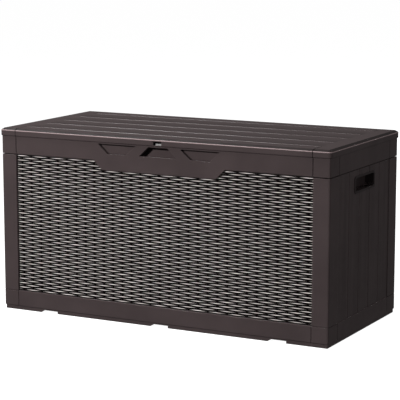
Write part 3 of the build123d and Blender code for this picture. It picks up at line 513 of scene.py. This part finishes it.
# ------------------------------------------------------------------ wicker
def wicker_strand_tree():
    """Rows of strands that pass over every second stake, each row the other way round."""
    tree, given, result = geometry_tree(
        "wicker_strands",
        [
            ("Width", FLOAT, 1.0),
            ("Rows", WHOLE, 10),
            ("First Row", WHOLE, 0),
            ("Row Pitch", FLOAT, 0.01),
            ("Stake Pitch", FLOAT, 0.035),
            ("First Row Height", FLOAT, 0.0),
            ("Panel Face", FLOAT, 0.0),
            ("Relief", FLOAT, 0.004),
            ("Slack Relief", FLOAT, 0.001),
            ("Half Height", FLOAT, 0.004),
            ("Slack Half Height", FLOAT, 0.002),
            ("Segments", WHOLE, 100),
            ("Sides", WHOLE, 7),
            ("Unevenness", FLOAT, 0.0002),
            ("Seed", FLOAT, 1.0),
            ("Material", "NodeSocketMaterial", None),
        ],
    )
    strip = node(tree, "GeometryNodeMeshGrid")
    feed(tree, strip.inputs["Size X"], given["Width"])
    feed(tree, strip.inputs["Size Y"], 1.0)
    feed(tree, strip.inputs["Vertices X"], given["Segments"])
    feed(tree, strip.inputs["Vertices Y"], calc(tree, "ADD", given["Sides"], 1.0))
    rows = node(tree, "GeometryNodeMeshLine", mode="OFFSET")
    feed(tree, rows.inputs["Count"], given["Rows"])
    feed(tree, rows.inputs["Offset"], vector(tree, 0.0, 0.0, given["Row Pitch"]))
    stacked = node(tree, "GeometryNodeInstanceOnPoints")
    feed(tree, stacked.inputs["Points"], rows.outputs["Mesh"])
    feed(tree, stacked.inputs["Instance"], strip.outputs["Mesh"])
    real = node(tree, "GeometryNodeRealizeInstances")
    feed(tree, real.inputs["Geometry"], stacked.outputs["Instances"])

    place = node(tree, "ShaderNodeSeparateXYZ")
    feed(tree, place.inputs[0], node(tree, "GeometryNodeInputPosition").outputs[0])
    along, around, height = place.outputs
    row = calc(tree, "ROUND", calc(tree, "DIVIDE", height, given["Row Pitch"]))
    turns = calc(tree, "ADD", calc(tree, "DIVIDE", along, given["Stake Pitch"]), row)
    turns = calc(tree, "ADD", turns, given["First Row"])
    wave = calc(tree, "COSINE", calc(tree, "MULTIPLY", turns, pi))
    lift = calc(tree, "POWER", calc(tree, "MULTIPLY_ADD", wave, 0.5, 0.5), STRAND_BULGE)
    jitter = node(tree, "ShaderNodeTexNoise", noise_dimensions="4D")
    row_place = calc(tree, "MULTIPLY", row, ROW_TO_ROW)
    feed(tree, jitter.inputs["Vector"], vector(tree, along, 0.0, row_place))
    feed(tree, jitter.inputs["W"], given["Seed"])
    feed(tree, jitter.inputs["Scale"], UNEVENNESS_SCALE)
    uneven = calc(tree, "MULTIPLY", calc(tree, "SUBTRACT", jitter.outputs[0], 0.5), given["Unevenness"])

    def between(low, high):
        return calc(tree, "MULTIPLY_ADD", calc(tree, "SUBTRACT", high, low), lift, low)

    half = between(given["Slack Half Height"], given["Half Height"])
    relief = between(given["Slack Relief"], given["Relief"])
    from_middle = calc(tree, "ABSOLUTE", calc(tree, "MULTIPLY", around, 2.0))
    bias = calc(tree, "POWER", from_middle, STRAND_CROWDING)
    angle = calc(tree, "MULTIPLY", calc(tree, "SIGN", around), calc(tree, "MULTIPLY", bias, pi))
    outward = calc(tree, "MAXIMUM", calc(tree, "COSINE", angle), STRAND_BACK)
    new_y = calc(tree, "SUBTRACT", given["Panel Face"], calc(tree, "MULTIPLY", outward, relief))
    new_z = calc(tree, "MULTIPLY_ADD", calc(tree, "SINE", angle), half, height)
    new_z = calc(tree, "ADD", new_z, given["First Row Height"])
    new_z = calc(tree, "ADD", new_z, uneven)
    moved = node(tree, "GeometryNodeSetPosition")
    feed(tree, moved.inputs["Position"], vector(tree, along, new_y, new_z))
    geometry = real.outputs["Geometry"]
    for label, value in (("lift", lift), ("facing", calc(tree, "SINE", angle))):
        kept = node(tree, "GeometryNodeStoreNamedAttribute", data_type="FLOAT", domain="POINT")
        feed(tree, kept.inputs["Geometry"], geometry)
        kept.inputs["Name"].default_value = label
        feed(tree, kept.inputs["Value"], value)
        geometry = kept.outputs["Geometry"]
    feed(tree, moved.inputs["Geometry"], geometry)
    closed = node(tree, "GeometryNodeMergeByDistance")
    feed(tree, closed.inputs["Geometry"], moved.outputs["Geometry"])
    feed(tree, closed.inputs["Distance"], STRAND_WELD)
    smooth = node(tree, "GeometryNodeSetShadeSmooth")
    feed(tree, smooth.inputs["Geometry"], closed.outputs["Geometry"])
    painted = node(tree, "GeometryNodeSetMaterial")
    feed(tree, painted.inputs["Geometry"], smooth.outputs["Geometry"])
    feed(tree, painted.inputs["Material"], given["Material"])
    tree.links.new(painted.outputs["Geometry"], result)
    return tree


def wicker_stake_tree():
    """Upright ribs behind the strands, one for each place where the strands cross."""
    tree, given, result = geometry_tree(
        "wicker_stakes",
        [
            ("Count", WHOLE, 3),
            ("Pitch", FLOAT, 0.035),
            ("Half Width", FLOAT, 0.003),
            ("Relief", FLOAT, 0.001),
            ("Height", FLOAT, 0.4),
            ("Panel Face", FLOAT, 0.0),
            ("Foot", FLOAT, 0.0),
            ("Material", "NodeSocketMaterial", None),
        ],
    )
    bar = node(tree, "GeometryNodeMeshCylinder")
    feed(tree, bar.inputs["Vertices"], STAKE_FACETS)
    feed(tree, bar.inputs["Radius"], 1.0)
    feed(tree, bar.inputs["Depth"], 1.0)
    first = calc(tree, "MULTIPLY", calc(tree, "SUBTRACT", given["Count"], 1.0), given["Pitch"])
    first = calc(tree, "MULTIPLY", first, -0.5)
    places = node(tree, "GeometryNodeMeshLine", mode="OFFSET")
    feed(tree, places.inputs["Count"], given["Count"])
    centre = calc(tree, "MULTIPLY_ADD", given["Height"], 0.5, given["Foot"])
    feed(tree, places.inputs["Start Location"], vector(tree, first, given["Panel Face"], centre))
    feed(tree, places.inputs["Offset"], vector(tree, given["Pitch"], 0.0, 0.0))
    bars = node(tree, "GeometryNodeInstanceOnPoints")
    feed(tree, bars.inputs["Points"], places.outputs["Mesh"])
    feed(tree, bars.inputs["Instance"], bar.outputs["Mesh"])
    feed(tree, bars.inputs["Scale"], vector(tree, given["Half Width"], given["Relief"], given["Height"]))
    real = node(tree, "GeometryNodeRealizeInstances")
    feed(tree, real.inputs["Geometry"], bars.outputs["Instances"])
    painted = node(tree, "GeometryNodeSetMaterial")
    feed(tree, painted.inputs["Geometry"], real.outputs["Geometry"])
    feed(tree, painted.inputs["Material"], given["Material"])
    tree.links.new(painted.outputs["Geometry"], result)
    return tree


def weave_front(material, stake_material):
    row_pitch = (PANEL_HEAD - PANEL_FOOT) / WICKER_ROWS
    stake_pitch = 2 * PANEL_HALF / WICKER_STAKES
    band_rows = WICKER_ROWS // WICKER_BANDS
    strand_tree = wicker_strand_tree()
    pieces = []
    for band in range(WICKER_BANDS):
        foot = PANEL_FOOT + band * band_rows * row_pitch
        pieces.append(
            grow(
                f"wicker_strands_{band + 1}",
                strand_tree,
                {
                    "Width": 2 * (PANEL_HALF + STRAND_TUCK),
                    "Rows": band_rows,
                    "First Row": band * band_rows,
                    "Row Pitch": row_pitch,
                    "Stake Pitch": stake_pitch,
                    "First Row Height": foot + row_pitch / 2,
                    "Panel Face": PANEL_FACE,
                    "Relief": STRAND_RELIEF,
                    "Slack Relief": STRAND_SLACK_RELIEF,
                    "Half Height": STRAND_HALF,
                    "Slack Half Height": STRAND_SLACK_HALF,
                    "Segments": STRAND_SEGMENTS,
                    "Sides": STRAND_SIDES,
                    "Unevenness": STRAND_UNEVENNESS,
                    "Seed": WICKER_SEED + band,
                    "Material": material,
                },
            )
        )
    pieces.append(
        grow(
            "wicker_stakes",
            wicker_stake_tree(),
            {
                "Count": WICKER_STAKES,
                "Pitch": stake_pitch,
                "Half Width": STAKE_HALF_WIDTH,
                "Relief": STAKE_RELIEF,
                "Height": PANEL_HEAD - PANEL_FOOT,
                "Panel Face": PANEL_FACE,
                "Foot": PANEL_FOOT,
                "Material": stake_material,
            },
        )
    )
    for piece in pieces:
        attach(piece, "box")


# ------------------------------------------------------------------ studio
def studio_floor():
    corners = [
        (-FLOOR_HALF, -FLOOR_HALF, 0.0),
        (FLOOR_HALF, -FLOOR_HALF, 0.0),
        (FLOOR_HALF, FLOOR_HALF, 0.0),
        (-FLOOR_HALF, FLOOR_HALF, 0.0),
    ]
    mesh = bpy.data.meshes.new("floor")
    mesh.from_pydata(corners, [], [(0, 1, 2, 3)])
    mesh.materials.append(floor_paint())
    floor = mesh_object("floor", mesh)
    # The floor is lit apart from the box, so its glow doesn't wash out the dark resin.
    floor.visible_diffuse = False
    floor.visible_glossy = False


def softbox(name, turn, rise, distance, width, height, strength, mirrored=False):
    """A lamp that faces the box, placed by its turn and rise in degrees.

    Only a mirrored lamp shows as a highlight, so the others leave no glare on the lid.
    """
    toward = direction(radians(turn), radians(rise))
    data = bpy.data.lights.new(name, "AREA")
    data.shape = "RECTANGLE"
    data.size = width
    data.size_y = height
    data.energy = strength * pi * pi * distance**2
    lamp = bpy.data.objects.new(name, data)
    lamp.location = AIM + toward * distance
    lamp.rotation_euler = toward.to_track_quat("Z", "Y").to_euler()
    lamp.visible_glossy = mirrored
    bpy.context.scene.collection.objects.link(lamp)


def studio_lights():
    softbox(
        "front_light", turn=-18.0, rise=24.0, distance=5.0, width=0.6, height=0.35, strength=1.02
    )
    softbox(
        "top_light",
        turn=-70.0,
        rise=61.0,
        distance=3.6,
        width=1.0,
        height=1.0,
        strength=0.72,
        mirrored=True,
    )
    softbox(
        "side_fill", turn=80.0, rise=15.0, distance=5.0, width=2.0, height=1.5, strength=0.22
    )
    softbox(
        "back_fill", turn=170.0, rise=15.0, distance=5.0, width=2.5, height=1.5, strength=0.5
    )
    world = bpy.data.worlds.new("studio")
    world.use_nodes = True
    tree = world.node_tree
    background = tree.nodes["Background"]
    background.inputs["Color"].default_value = WHITE
    background.inputs["Strength"].default_value = AMBIENT
    bpy.context.scene.world = world
    bpy.context.scene.view_settings.view_transform = "Standard"


# ------------------------------------------------------------------ making
make_camera()
studio_floor()
studio_lights()

plain = moulded_resin("resin_plain")
rim_resin = moulded_resin("resin_rim", edge_wear_and_highlight=RIM_EDGE_WEAR_AND_HIGHLIGHT, rim=True)
plank_top = moulded_resin("resin_plank_top", grain="x", edge_wear_and_highlight=PLANK_EDGE_HIGHLIGHT, planks=True)
plank_side = moulded_resin("resin_plank_side", grain="z")
# Painted shade: the hand cups' resin is painted darker for the shade in their recesses.
cup = moulded_resin("resin_cup_painted_shade", colour=shade(RESIN, CUP_SHADE_TONE)[:3])
inner = moulded_resin("resin_inner", colour=INSIDE_RESIN, roughness=0.6, specular=0.3)
strand = wicker_resin()
ground = shaded_wicker_ground("shaded_wicker_ground")
steel = metal("zinc_steel", (0.50, 0.49, 0.485), 0.5, streak_axis=(0.2, 1.0, 1.0), metallic=0.4)
black_steel = metal("black_steel", (0.02, 0.02, 0.021), 0.5, metallic=0.0, contrast=0.1)
screw_steel = metal("screw_steel", (0.62, 0.62, 0.62), 0.35, metallic=0.5)
tube_paint = metal("strut_paint", (0.03, 0.03, 0.032), 0.35, metallic=0.0, contrast=0.06)
chrome = metal(
    "strut_chrome", (0.7, 0.7, 0.71), 0.2, streak_axis=(1.0, 1.0, 0.2), metallic=0.6, contrast=0.05
)

BY_SLOT = {
    "resin": plain,
    "wicker": strand,
    "cup": cup,
    "inner_resin": inner,
    "steel": steel,
    "screws": screw_steel,
    "strut_tube": tube_paint,
    "strut_rod": chrome,
}
BY_NODE = {
    "lock_plate_body": black_steel,
    "front_wicker_panel": ground,
    "lid_top_panel": plank_top,
    "side_panel_left": plank_side,
    "side_panel_right": plank_side,
    "back_panel": plank_side,
}
RIM_PIECES = ("lid_fascia", "lid_corner_", "lid_end_cap_", "lid_rear_rail")
BY_NODE.update({name: rim_resin for name in nodes if name.startswith(RIM_PIECES)})
slots = {entry["node"]: entry["material_slot"] for entry in frame["record"]["subparts"]}
for name, piece in nodes.items():
    piece.data.materials.clear()
    piece.data.materials.append(BY_NODE.get(name, BY_SLOT[slots[name]]))

weave_front(strand, ground)
